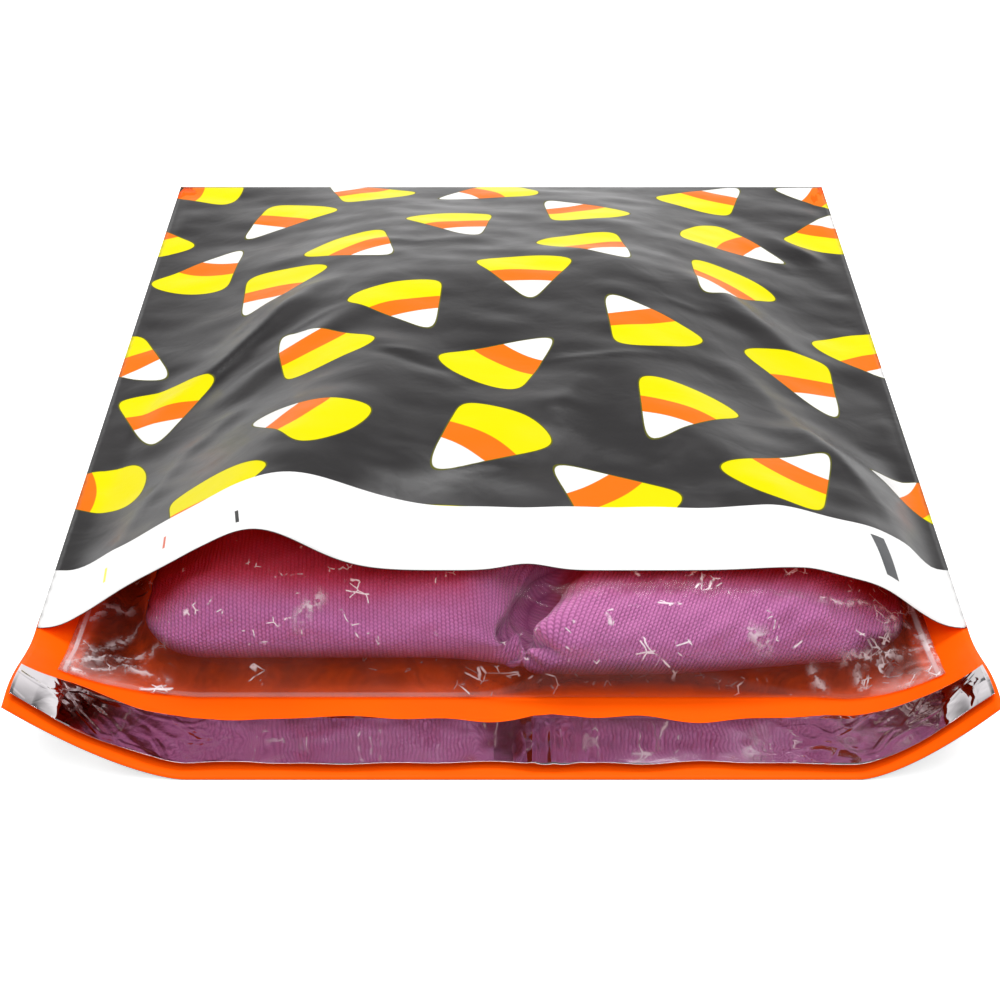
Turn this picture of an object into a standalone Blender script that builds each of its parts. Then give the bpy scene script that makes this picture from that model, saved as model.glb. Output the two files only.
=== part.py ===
"""An open film mailer lying on its back, with a folded garment in a clear sleeve inside it.

X runs across the bag, Y into it from its flap, and Z up. "along" is the distance into the bag from the
line of its mouth, so the flap has an along below 0. Sizes are in metres.
"""

import math

import bmesh
import bpy

# The bag as it lies
BAG_REACH = 0.324
FLAP_REACH = 0.050
MOUTH_HALF_WIDTH = 0.122
FOLD_HALF_WIDTH = 0.1245
FLAP_HALF_WIDTH = 0.1205
LIP_DRAW = 0.003
LIP_DRAW_RUN = 0.060
LIP_DRAW_CORNER = 0.5
FILM = 0.0001

# The height of the side seams at the mouth, of the bottom fold, and of the flap's curled corners
MOUTH_SEAM_HEIGHT = 0.012
FOLD_HEIGHT = 0.007
FLAP_CORNER_HEIGHT = 0.0215
FLAP_CURL_RUN = 0.045

# The flat underside: its half-width to the left and right, and the run that lifts to the bottom fold
FLAT_LEFT = 0.078
FLAT_RIGHT = 0.088
FOLD_LIFT_RUN = 0.070
LIFT_POWER = 1.5

# The upper panel's height over the contents, and how it falls to the seams and to the bottom fold
CREST_HEIGHT = 0.033
MOUTH_DROP = 0.0052
MOUTH_DROP_RUN = 0.085
BACK_FALL_START = 0.175
BACK_FALL_POWER = 1.3
SHOULDER_AT_MOUTH = 0.078
SHOULDER_INSIDE = 0.034
SHOULDER_RUN = 0.120
SEAM_BORDER = 0.0015

# The shares of the half-width and of the reach where the panel's loose shapes die away to its seams
LOOSE_SIDE = 0.90
LOOSE_REACH = 0.85

# The loose hump in the mouth's lip, which leans to the middle and dies away inside
HUMP_X = -0.064
HUMP_HEIGHT = 0.0125
HUMP_HALF_WIDTH = 0.0185
HUMP_REACH = 0.100
HUMP_LEAN = 0.19
HUMP_SPREAD = 0.12

# Soft ridges in the upper panel: (x, along) where each starts and ends, its height and its half-width.
# Each rises from a little before its start to a little after it, as shares of its length.
RIDGE_BEFORE = 0.25
RIDGE_AFTER = 0.35
RIDGES = (
    ((0.0065, -0.010), (0.0065, 0.020), 0.0020, 0.008),
    ((0.076, -0.010), (0.080, 0.050), 0.0015, 0.014),
    ((-0.108, 0.118), (-0.060, 0.186), 0.0024, 0.008),
    ((-0.088, 0.110), (-0.044, 0.158), 0.0020, 0.008),
    ((-0.050, 0.020), (0.010, 0.085), 0.0022, 0.014),
    ((0.012, 0.070), (0.030, 0.120), 0.0016, 0.012),
    ((0.062, 0.200), (0.098, 0.150), 0.0020, 0.010),
    ((0.070, 0.130), (0.104, 0.062), 0.0022, 0.010),
    ((0.090, 0.270), (0.116, 0.240), 0.0014, 0.009),
    ((0.110, 0.012), (0.092, 0.092), 0.0070, 0.016),
)

# What lies in the bag, with the room that stacked layers keep
LAYER_GAP = 0.0006
AIR_OVER_CONTENTS = 0.0028
AIR_OVER_SLEEVE = 0.0014
SLEEVE_FILM = 0.0001
SLEEVE_FRONT_ROOM = 0.0050
SLEEVE_SIDE_ROOM = 0.0115
SLEEVE_NARROW_RUN = 0.040
SLEEVE_FRONT = -0.0155
SLEEVE_CORNER = 0.004
SLEEVE_CORNER_RUN = 0.035
SLEEVE_BACK = 0.246
SLEEVE_PUFF = 0.0012
SLEEVE_SLACK = 0.008
SLEEVE_EDGE_RUN = 0.004
GARMENT_LEFT_ROOM = 0.0155
GARMENT_RIGHT_ROOM = 0.0035
GARMENT_LEFT_FRONT = -0.0045
GARMENT_RIGHT_FRONT = -0.0125
GARMENT_LOBE_STEP = 0.021
GARMENT_RIGHT_RETREAT = 0.007
GARMENT_RETREAT_START = 0.035
GARMENT_RETREAT_END = 0.105
GARMENT_BACK = 0.235
GARMENT_CORNER = 0.016
GARMENT_FRONT_ROUND = 0.024
GARMENT_SIDE_ROUND = 0.034
GARMENT_UNDER_ROUND = 0.010
RIM_SHARE = 0.36

# The crease between the garment's two lobes, from its nose back under the lip
CREASE_FRONT_X = 0.002
CREASE_BACK_X = 0.028
CREASE_REACH = 0.046
CREASE_DEPTH = 0.013
CREASE_HALF_WIDTH = 0.0065
CREASE_FADE = 0.45

# The adhesive on the flap, and the release liner over it
LINER_FROM_EDGE = 0.0060
LINER_WIDTH = 0.0180
LINER_END_ROOM = 0.0012
LINER_THICKNESS = 0.0001
ADHESIVE_INSET = 0.0030
ADHESIVE_THICKNESS = 0.0002

# How finely the surfaces are divided
FILM_COLUMNS = 28
FLAP_ROWS = 7
BAG_ROWS = 32
SLEEVE_COLUMNS = 24
SLEEVE_ROWS = 12
GARMENT_COLUMNS = 24
GARMENT_ROWS = 14
RIM_ROWS = 5
STRIP_ROWS = 4
MERGE_DISTANCE = 1e-6


def mix(a, b, share):
    return a + (b - a) * share


def clamp(value):
    return min(max(value, 0.0), 1.0)


def ease(low, high, value):
    """0 up to low and 1 from high on, with a smooth step between."""
    share = clamp((value - low) / (high - low))
    return share * share * (3.0 - 2.0 * share)


def round_over(distance, radius):
    """A quarter ellipse: 0 at the rim, 1 from the radius on."""
    return math.sqrt(1.0 - (1.0 - clamp(distance / radius)) ** 2)


def half_width(along):
    if along < 0.0:
        return mix(MOUTH_HALF_WIDTH, FLAP_HALF_WIDTH, -along / FLAP_REACH)
    return mix(MOUTH_HALF_WIDTH, FOLD_HALF_WIDTH, along / BAG_REACH)


def edge_height(along):
    """The height of the side seams, and ahead of the mouth of the flap's curled side edges."""
    if along < 0.0:
        return mix(MOUTH_SEAM_HEIGHT, FLAP_CORNER_HEIGHT, ease(0.0, FLAP_CURL_RUN, -along))
    return mix(MOUTH_SEAM_HEIGHT, FOLD_HEIGHT, along / BAG_REACH)


def under_z(x, along):
    """The outer face of the lower panel and of the flap: flat on the table, lifting to the edges."""
    flat = FLAT_LEFT if x < 0.0 else FLAT_RIGHT
    side = clamp((abs(x) - flat) / (half_width(along) - flat)) ** LIFT_POWER
    fold = clamp(1.0 - (BAG_REACH - along) / FOLD_LIFT_RUN) ** LIFT_POWER
    return mix(fold * FOLD_HEIGHT, edge_height(along), side)


def crest_z(along):
    """The upper panel's height on its middle line."""
    drop = MOUTH_DROP * (1.0 - ease(0.0, MOUTH_DROP_RUN, along))
    fall = clamp((along - BACK_FALL_START) / (BAG_REACH - BACK_FALL_START)) ** BACK_FALL_POWER
    return mix(CREST_HEIGHT - drop, FOLD_HEIGHT, fall)


def fill_z(x, along):
    """The upper panel as the contents fill it, before its hump and ridges."""
    shoulder = mix(SHOULDER_AT_MOUTH, SHOULDER_INSIDE, ease(0.0, SHOULDER_RUN, along))
    side = ease(shoulder, half_width(along) - SEAM_BORDER, abs(x))
    base = edge_height(max(along, 0.0))
    return mix(crest_z(along), base, side)


def ridge_z(x, along, ridge):
    """A soft ridge along a straight line, tapering to both of its ends."""
    (x0, along0), (x1, along1), height, spread = ridge
    run_x, run_along = x1 - x0, along1 - along0
    length = math.hypot(run_x, run_along)
    share = ((x - x0) * run_x + (along - along0) * run_along) / length**2
    across = ((x - x0) * run_along - (along - along0) * run_x) / length
    taper = ease(-RIDGE_BEFORE, RIDGE_AFTER, share)
    taper *= 1.0 - ease(1.0 - RIDGE_AFTER, 1.0 + RIDGE_BEFORE, share)
    return height * taper * math.exp(-((across / spread) ** 2))


def loose_z(x, along):
    """How far the upper panel stands off its contents: the lip's hump and the soft ridges."""
    centre = HUMP_X + HUMP_LEAN * along
    spread = HUMP_HALF_WIDTH + HUMP_SPREAD * along
    hump = HUMP_HEIGHT * math.exp(-((along / HUMP_REACH) ** 2) - ((x - centre) / spread) ** 2)
    return hump + sum(ridge_z(x, along, ridge) for ridge in RIDGES)


def upper_z(x, along):
    """The outer face of the upper panel."""
    free = 1.0 - ease(LOOSE_SIDE, 1.0, abs(x) / half_width(along))
    free *= 1.0 - ease(LOOSE_REACH, 1.0, along / BAG_REACH)
    return fill_z(x, along) + free * loose_z(x, along)


def lip_draw(x, along):
    """How far the raised lip is drawn into the bag between its corners."""
    side = ease(LIP_DRAW_CORNER, 1.0, abs(x) / half_width(along))
    return LIP_DRAW * (1.0 - side) * (1.0 - ease(0.0, LIP_DRAW_RUN, along))


def garment_sides():
    """The x of the garment's left and right sides."""
    half = MOUTH_HALF_WIDTH - SLEEVE_SIDE_ROOM
    return GARMENT_LEFT_ROOM - half, half - GARMENT_RIGHT_ROOM


def garment_side(x):
    """The distance in from the garment's nearer side."""
    left, right = garment_sides()
    return min(x - left, right - x)


def corner_retreat(side, radius):
    """How far a rounded corner draws an end back, at a distance in from the side."""
    return radius - math.sqrt(radius**2 - (radius - min(max(side, 0.0), radius)) ** 2)


def garment_front(x):
    """The along of the garment's nose: the right lobe stands further out, and draws back to its end."""
    lobe = mix(GARMENT_LEFT_FRONT, GARMENT_RIGHT_FRONT, ease(-GARMENT_LOBE_STEP, GARMENT_LOBE_STEP, x))
    retreat = GARMENT_RIGHT_RETREAT * ease(GARMENT_RETREAT_START, GARMENT_RETREAT_END, x)
    return lobe + retreat + corner_retreat(garment_side(x), GARMENT_CORNER)


def garment_back(x):
    return GARMENT_BACK - corner_retreat(garment_side(x), GARMENT_CORNER)


def sleeve_floor(x, along):
    """The underside of the sleeve's lower sheet."""
    return under_z(x, along) + FILM + LAYER_GAP


def garment_floor(x, along):
    return sleeve_floor(x, along) + SLEEVE_FILM + LAYER_GAP


def garment_ceiling(x, along):
    return fill_z(x, along) - AIR_OVER_CONTENTS


def garment_rim_z(x, along):
    return mix(garment_floor(x, along), garment_ceiling(x, along), RIM_SHARE)


def crease_z(x, along):
    """The depth of the crease, which runs back and to the right from the nose."""
    share = clamp((along - GARMENT_RIGHT_FRONT) / CREASE_REACH)
    centre = mix(CREASE_FRONT_X, CREASE_BACK_X, share)
    depth = CREASE_DEPTH * (1.0 - ease(CREASE_FADE, 1.0, share))
    return depth * math.exp(-(((x - centre) / CREASE_HALF_WIDTH) ** 2))


def garment_top(x, along):
    rim = garment_rim_z(x, along)
    dome = round_over(garment_side(x), GARMENT_SIDE_ROUND)
    dome *= round_over(along - garment_front(x), GARMENT_FRONT_ROUND)
    dome *= round_over(garment_back(x) - along, GARMENT_FRONT_ROUND)
    return rim + (garment_ceiling(x, along) - rim - crease_z(x, along)) * dome


def garment_bottom(x, along):
    rim = garment_rim_z(x, along)
    bowl = round_over(garment_side(x), GARMENT_UNDER_ROUND)
    bowl *= round_over(along - garment_front(x), GARMENT_UNDER_ROUND)
    bowl *= round_over(garment_back(x) - along, GARMENT_UNDER_ROUND)
    return mix(rim, garment_floor(x, along), bowl)


def sleeve_half_width(along):
    """The sleeve is at its full width at its flat front edge, and narrower where the garment fills it."""
    filled = ease(SLEEVE_FRONT, SLEEVE_FRONT + SLEEVE_NARROW_RUN, along)
    return MOUTH_HALF_WIDTH - mix(SLEEVE_FRONT_ROOM, SLEEVE_SIDE_ROOM, filled)


def sleeve_front(x):
    """The along of the sleeve's front edge, whose corners stand forward."""
    half = MOUTH_HALF_WIDTH - SLEEVE_FRONT_ROOM
    return SLEEVE_FRONT - SLEEVE_CORNER * ease(half - SLEEVE_CORNER_RUN, half, abs(x))


def drape(distance, radius):
    """The sleeve's rise at a distance in from the garment's rim: it starts a slack ahead of that rim."""
    start = ease(-SLEEVE_SLACK, 0.0, distance)
    return start * round_over(distance + SLEEVE_SLACK, radius + SLEEVE_SLACK)


def sleeve_top(x, along):
    inside = min(sleeve_half_width(along) - abs(x), along - sleeve_front(x))
    edge = round_over(inside, SLEEVE_EDGE_RUN)
    low = sleeve_floor(x, along) + SLEEVE_PUFF * edge
    high = fill_z(x, along) - AIR_OVER_SLEEVE
    side_drape = drape(garment_side(x), GARMENT_SIDE_ROUND)
    front_drape = drape(along - garment_front(x), GARMENT_FRONT_ROUND)
    return mix(low, max(high, low), min(side_drape, front_drape) * edge)


def even_steps(count):
    return [step / count for step in range(count + 1)]


def rim_steps(rim):
    """Distances in from a rounded rim, close together at its edge."""
    return [rim * (1.0 - math.cos(0.5 * math.pi * step / RIM_ROWS)) for step in range(RIM_ROWS)]


def rimmed_steps(length, rim, count, both_ends=True):
    """Shares of a length: close together in the rim at its start, and at its end too, and even between."""
    start = rim_steps(rim)
    end = [length - step for step in reversed(start)] if both_ends else []
    stop = length - rim if both_ends else length
    steps = start + [mix(rim, stop, step / count) for step in range(count + 1)] + end
    return [step / length for step in steps]


def surface(columns, rows, place):
    """A bmesh grid with a vertex at place(column, row) for each pair of steps."""
    bm = bmesh.new()
    x_cells, y_cells = len(columns) - 1, len(rows) - 1
    bmesh.ops.create_grid(bm, x_segments=x_cells, y_segments=y_cells, size=1.0)
    for vert in bm.verts:
        column = round((vert.co.x + 1.0) * 0.5 * x_cells)
        row = round((vert.co.y + 1.0) * 0.5 * y_cells)
        vert.co = place(columns[column], rows[row])
    bmesh.ops.remove_doubles(bm, verts=bm.verts, dist=MERGE_DISTANCE)
    bmesh.ops.triangulate(bm, faces=bm.faces, quad_method="BEAUTY")
    return bm


def two_skins(columns, rows, place_lower, place_upper):
    """One surface that runs over a lower skin's rows, and back over the same rows of an upper skin."""
    stations = [("lower", row) for row in rows] + [("upper", row) for row in reversed(rows[:-1])]

    def place(column, station):
        skin, row = station
        return place_lower(column, row) if skin == "lower" else place_upper(column, row)

    bm = surface(columns, stations, place)
    bmesh.ops.reverse_faces(bm, faces=bm.faces)
    return bm


def finish(name, color, roughness, metallic=0.0, alpha=1.0):
    material = bpy.data.materials.new(name)
    material.use_nodes = True
    shader = material.node_tree.nodes["Principled BSDF"]
    shader.inputs["Base Color"].default_value = (*color, 1.0)
    shader.inputs["Roughness"].default_value = roughness
    shader.inputs["Metallic"].default_value = metallic
    shader.inputs["Alpha"].default_value = alpha
    return material


def add_object(name, bm, material):
    """A smooth-shaded object from a bmesh whose along is still measured from the mouth."""
    mesh = bpy.data.meshes.new(name)
    bm.to_mesh(mesh)
    bm.free()
    mesh.shade_smooth()
    mesh.materials.append(material)
    obj = bpy.data.objects.new(name, mesh)
    obj.location.y = 0.5 * (FLAP_REACH - BAG_REACH)
    bpy.context.scene.collection.objects.link(obj)
    return obj


def add_wall(obj, thickness, side):
    """Gives a sheet its thickness: side 1 is out along its normals, and -1 is inwards."""
    wall = obj.modifiers.new("wall", "SOLIDIFY")
    wall.thickness = thickness
    wall.offset = side


def build_film():
    """The printed film: flap and lower panel, turned over at the bottom fold and welded up both sides."""
    flap_rows = [-FLAP_REACH * (1.0 - step) for step in even_steps(FLAP_ROWS)][:-1]
    bag_rows = [BAG_REACH * step for step in even_steps(BAG_ROWS)]
    stations = [("lower", along) for along in flap_rows + bag_rows]
    stations += [("upper", along) for along in reversed(bag_rows[:-1])]

    def place(column, station):
        panel, along = station
        x = mix(-half_width(along), half_width(along), column)
        if panel == "lower":
            return x, along, under_z(x, along)
        return x, along + lip_draw(x, along), upper_z(x, along)

    bm = surface(even_steps(FILM_COLUMNS), stations, place)
    bmesh.ops.reverse_faces(bm, faces=bm.faces)
    obj = add_object("mailer_film", bm, finish("printed_film", (0.065, 0.061, 0.063), 0.38))
    add_wall(obj, FILM, -1.0)


def build_garment():
    """The folded garment: a soft block with a rounded rim and a deep crease in its nose."""
    left, right = garment_sides()

    def at(column, row):
        x = mix(left, right, column)
        return x, mix(garment_front(x), garment_back(x), row)

    def lower(column, row):
        x, along = at(column, row)
        return x, along, garment_bottom(x, along)

    def upper(column, row):
        x, along = at(column, row)
        return x, along, garment_top(x, along)

    columns = rimmed_steps(right - left, GARMENT_FRONT_ROUND, GARMENT_COLUMNS)
    rows = rimmed_steps(GARMENT_BACK - GARMENT_LEFT_FRONT, GARMENT_FRONT_ROUND, GARMENT_ROWS)
    bm = two_skins(columns, rows, lower, upper)
    add_object("folded_garment", bm, finish("garment_knit", (0.42, 0.13, 0.37), 0.85))


def build_sleeve():
    """The clear sleeve round the garment: sealed at its front and sides, and open at its far end."""
    width = 2.0 * (MOUTH_HALF_WIDTH - SLEEVE_FRONT_ROOM)

    def at(column, row):
        front = sleeve_front(width * (0.5 - column))
        along = mix(front, SLEEVE_BACK, row)
        half = sleeve_half_width(along)
        return mix(half, -half, column), along

    def lower(column, row):
        x, along = at(column, row)
        return x, along, sleeve_floor(x, along)

    def upper(column, row):
        x, along = at(column, row)
        return x, along, sleeve_top(x, along)

    columns = rimmed_steps(width, SLEEVE_EDGE_RUN + SLEEVE_SLACK, SLEEVE_COLUMNS)
    nose = SLEEVE_EDGE_RUN + SLEEVE_SLACK + GARMENT_FRONT_ROUND
    rows = rimmed_steps(SLEEVE_BACK - SLEEVE_FRONT, nose, SLEEVE_ROWS, both_ends=False)
    bm = two_skins(columns, rows[::-1], lower, upper)
    obj = add_object("garment_sleeve", bm, finish("clear_film", (0.95, 0.95, 0.96), 0.12, alpha=0.35))
    add_wall(obj, SLEEVE_FILM, -1.0)


def build_strip(name, material, from_edge, width, lift, thickness):
    """A strip that lies on the flap, a distance in from the flap's edge."""
    start = from_edge - FLAP_REACH

    def place(column, row):
        along = start + width * row
        half = half_width(along) - LINER_END_ROOM
        x = mix(-half, half, column)
        return x, along, under_z(x, along) + FILM + lift

    bm = surface(even_steps(FILM_COLUMNS), even_steps(STRIP_ROWS), place)
    add_wall(add_object(name, bm, material), thickness, 1.0)


def build_flap_strips():
    build_strip(
        "adhesive_strip",
        finish("adhesive", (0.85, 0.83, 0.76), 0.5),
        LINER_FROM_EDGE + ADHESIVE_INSET,
        LINER_WIDTH - 2.0 * ADHESIVE_INSET,
        LAYER_GAP,
        ADHESIVE_THICKNESS,
    )
    build_strip(
        "release_liner",
        finish("silver_liner", (0.86, 0.86, 0.88), 0.12, metallic=1.0),
        LINER_FROM_EDGE,
        LINER_WIDTH,
        LAYER_GAP + ADHESIVE_THICKNESS + LAYER_GAP,
        LINER_THICKNESS,
    )


def main():
    for obj in list(bpy.data.objects):
        bpy.data.objects.remove(obj)
    build_film()
    build_garment()
    build_sleeve()
    build_flap_strips()


main()
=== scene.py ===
"""The looks of an open film mailer with a folded garment in a clear sleeve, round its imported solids.

X runs across the bag, Y into it from its flap, and Z up. "along" is the distance into the bag from the
line of its mouth. Sizes are in metres.
"""

import math

import bmesh
import bpy
import numpy as np
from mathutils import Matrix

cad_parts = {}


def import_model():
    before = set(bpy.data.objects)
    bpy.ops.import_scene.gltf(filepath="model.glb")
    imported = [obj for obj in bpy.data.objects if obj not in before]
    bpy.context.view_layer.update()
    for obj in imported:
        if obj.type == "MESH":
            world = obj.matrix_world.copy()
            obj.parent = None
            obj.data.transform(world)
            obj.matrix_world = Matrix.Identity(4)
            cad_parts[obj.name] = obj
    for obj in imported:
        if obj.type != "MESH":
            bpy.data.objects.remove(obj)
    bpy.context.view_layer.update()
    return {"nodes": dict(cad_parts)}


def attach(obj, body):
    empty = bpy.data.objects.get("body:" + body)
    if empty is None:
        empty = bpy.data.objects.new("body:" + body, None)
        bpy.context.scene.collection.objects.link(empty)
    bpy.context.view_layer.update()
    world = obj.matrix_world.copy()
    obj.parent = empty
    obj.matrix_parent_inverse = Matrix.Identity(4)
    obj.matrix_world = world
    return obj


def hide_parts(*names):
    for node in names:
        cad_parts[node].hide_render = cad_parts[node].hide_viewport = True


# The shape of the bag and of what lies in it, from the solids. The lip's shoulders and the sleeve's
# corners and sides follow the photograph more closely than the solids do.
BAG_REACH = 0.324
FLAP_REACH = 0.050
MOUTH_HALF_WIDTH = 0.122
FOLD_HALF_WIDTH = 0.1245
FLAP_HALF_WIDTH = 0.1205
LIP_DRAW = 0.003
LIP_DRAW_RUN = 0.060
LIP_DRAW_CORNER = 0.5
FILM = 0.0001
MOUTH_SEAM_HEIGHT = 0.012
FOLD_HEIGHT = 0.007
FLAP_CORNER_HEIGHT = 0.0215
FLAP_CURL_RUN = 0.045
FLAT_LEFT = 0.078
FLAT_RIGHT = 0.088
FOLD_LIFT_RUN = 0.070
LIFT_POWER = 1.5
CREST_HEIGHT = 0.033
MOUTH_DROP = 0.0052
MOUTH_DROP_RUN = 0.085
BACK_FALL_START = 0.175
BACK_FALL_POWER = 1.3
SHOULDER_AT_MOUTH = 0.078
SHOULDER_INSIDE = 0.034
SHOULDER_RUN = 0.120
SEAM_BORDER = 0.0015
LOOSE_SIDE = 0.90
LOOSE_REACH = 0.85
HUMP_X = -0.064
HUMP_HEIGHT = 0.0125
HUMP_HALF_WIDTH = 0.0185
HUMP_REACH = 0.100
HUMP_LEAN = 0.19
HUMP_SPREAD = 0.12
RIDGE_BEFORE = 0.25
RIDGE_AFTER = 0.35
RIDGES = (
    ((0.0065, -0.010), (0.0065, 0.020), 0.0020, 0.008),
    ((0.076, -0.010), (0.080, 0.050), 0.0015, 0.014),
    ((-0.108, 0.118), (-0.060, 0.186), 0.0024, 0.008),
    ((-0.088, 0.110), (-0.044, 0.158), 0.0020, 0.008),
    ((-0.050, 0.020), (0.010, 0.085), 0.0022, 0.014),
    ((0.012, 0.070), (0.030, 0.120), 0.0016, 0.012),
    ((0.062, 0.200), (0.098, 0.150), 0.0020, 0.010),
    ((0.070, 0.130), (0.104, 0.062), 0.0022, 0.010),
    ((0.090, 0.270), (0.116, 0.240), 0.0014, 0.009),
    ((0.110, 0.012), (0.092, 0.092), 0.0070, 0.016),
    ((-0.101, -0.020), (-0.093, 0.050), 0.0030, 0.014),
    ((0.099, -0.020), (0.101, 0.030), 0.0032, 0.010),
)
LAYER_GAP = 0.0006
AIR_OVER_CONTENTS = 0.0028
AIR_OVER_SLEEVE = 0.0014
SLEEVE_FILM = 0.0001
SLEEVE_FRONT_ROOM = 0.0090
SLEEVE_SIDE_ROOM = 0.0115
SLEEVE_NARROW_RUN = 0.040
SLEEVE_FRONT = -0.0155
SLEEVE_CORNER = 0.004
SLEEVE_CORNER_RUN = 0.035
SLEEVE_BACK = 0.246
SLEEVE_PUFF = 0.0012
SLEEVE_SLACK = 0.008
SLEEVE_EDGE_RUN = 0.004
GARMENT_LEFT_ROOM = 0.0155
GARMENT_RIGHT_ROOM = 0.0035
GARMENT_LEFT_FRONT = -0.0045
GARMENT_RIGHT_FRONT = -0.0125
GARMENT_LOBE_STEP = 0.021
GARMENT_RIGHT_RETREAT = 0.007
GARMENT_RETREAT_START = 0.035
GARMENT_RETREAT_END = 0.105
GARMENT_BACK = 0.235
GARMENT_CORNER = 0.016
GARMENT_FRONT_ROUND = 0.024
GARMENT_SIDE_ROUND = 0.034
GARMENT_UNDER_ROUND = 0.010
RIM_SHARE = 0.36
CREASE_FRONT_X = 0.002
CREASE_BACK_X = 0.028
CREASE_REACH = 0.046
CREASE_DEPTH = 0.013
CREASE_HALF_WIDTH = 0.0065
CREASE_FADE = 0.45
SLEEVE_RIM_SHARE = 0.92
ADHESIVE_THICKNESS = 0.0002
LINER_END_ROOM = 0.0012
LINER_THICKNESS = 0.0001

# The liner as the photograph shows it: a little wider than its solid, and nearer the flap's edge
LINER_FROM_EDGE = 0.0045
LINER_WIDTH = 0.0192

# The place on Y of the line of the mouth
MIDDLE = 0.5 * (FLAP_REACH - BAG_REACH)

# Finer folds in the upper panel: the points (x, along) of each, its height and its half-width
FOLDS = (
    (((-0.114, 0.004), (-0.104, 0.040), (-0.092, 0.085), (-0.070, 0.112)), 0.0012, 0.0050),
    (((-0.116, 0.050), (-0.113, 0.110), (-0.106, 0.155)), -0.0012, 0.0050),
    (((-0.101, 0.125), (-0.090, 0.138), (-0.078, 0.157), (-0.066, 0.180)), 0.0008, 0.0030),
    (((-0.078, 0.139), (-0.067, 0.150), (-0.049, 0.160)), 0.0007, 0.0025),
    (((-0.096, 0.150), (-0.084, 0.166), (-0.072, 0.190)), 0.0006, 0.0028),
    (((-0.037, 0.120), (-0.025, 0.118)), 0.0004, 0.0018),
    (((-0.040, 0.118), (-0.016, 0.105), (-0.006, 0.094)), -0.0007, 0.0040),
    (((0.014, 0.080), (0.026, 0.105)), 0.0006, 0.0040),
    (((0.009, 0.115), (0.030, 0.119), (0.056, 0.126)), 0.0004, 0.0016),
    (((0.077, 0.127), (0.088, 0.091), (0.097, 0.066), (0.106, 0.048), (0.110, 0.022)), 0.0009, 0.0035),
    (((0.065, 0.200), (0.082, 0.176), (0.098, 0.145)), 0.0005, 0.0045),
    (((0.097, 0.265), (0.115, 0.245)), 0.0008, 0.0035),
    (((0.084, 0.262), (0.103, 0.232)), 0.0006, 0.0035),
    (((-0.020, 0.212), (0.020, 0.206), (0.060, 0.214)), 0.0007, 0.0080),
    (((-0.060, 0.232), (-0.028, 0.222), (0.002, 0.232)), 0.0006, 0.0060),
    (((0.040, 0.050), (0.052, 0.066)), 0.0003, 0.0020),
    (((-0.018, 0.046), (-0.004, 0.052), (0.010, 0.050)), 0.0003, 0.0018),
    (((0.050, 0.170), (0.064, 0.166), (0.074, 0.170)), 0.0003, 0.0020),
)

# The print: where each figure lies, in millimetres across and from the lip, and the way its tip points
FIGURES = (
    (78, 304, 54), (127, 314, 158), (-4, 311, -150), (-52, 311, 128), (-116, 320, 178), (-80, 281, -126),
    (-16, 250, -72), (28, 270, 118), (31, 217, -60), (-50, 222, -57), (82, 251, -28), (121, 272, 80),
    (8, 183, -87), (77, 200, -114), (-78, 199, -113), (-131, 268, 108), (-106, 231, 60), (-128, 165, -45),
    (-31, 156, -68), (45, 143, 117), (-58, 127, 123), (124, 168, -63), (0, 112, 48), (97, 139, -67),
    (-109, 123, -92), (52, 86, -114), (-56, 67, 144), (-5, 63, -128), (80, 50, 54), (-126, 75, -176),
    (30, 34, 131), (-15, 14, -90), (-83, 29, -103), (131, 69, 151),
)

# A figure's tip and base from its middle, and how its sides slant, in degrees
FIGURE_TIP = 0.0270
FIGURE_BASE = 0.0160
FIGURE_SLANT = 24.4
FIGURE_YELLOW = (0.70, 0.62, 0.0)
FIGURE_ORANGE = (0.71, 0.145, 0.006)
FIGURE_WHITE = (0.74, 0.73, 0.72)
FIGURE_RIM = (0.10, 0.10, 0.01)

# The pale band along the lip, and a bar and three ticks on it: place, size, lean and colour of each
BAND_WIDTH = 0.0298
BAND_WHITE = (0.80, 0.795, 0.79)
BAND_MARKS = (
    ((0.1031, 0.0166), (0.0040, 0.0180), -0.148, (0.06, 0.062, 0.066)),
    ((-0.0716, 0.0086), (0.0010, 0.0070), -0.147, (0.01, 0.01, 0.01)),
    ((-0.0941, 0.0137), (0.0007, 0.0067), -0.06, (0.62, 0.12, 0.06)),
    ((-0.1140, 0.0160), (0.0008, 0.0085), -0.10, (0.80, 0.76, 0.06)),
)
# A thin dark line along the lip's edge
LIP_EDGE_DARK = (0.05, 0.02, 0.02)

# How far round the film the print comes to the bottom fold
FOLD_AT = 0.3274

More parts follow.
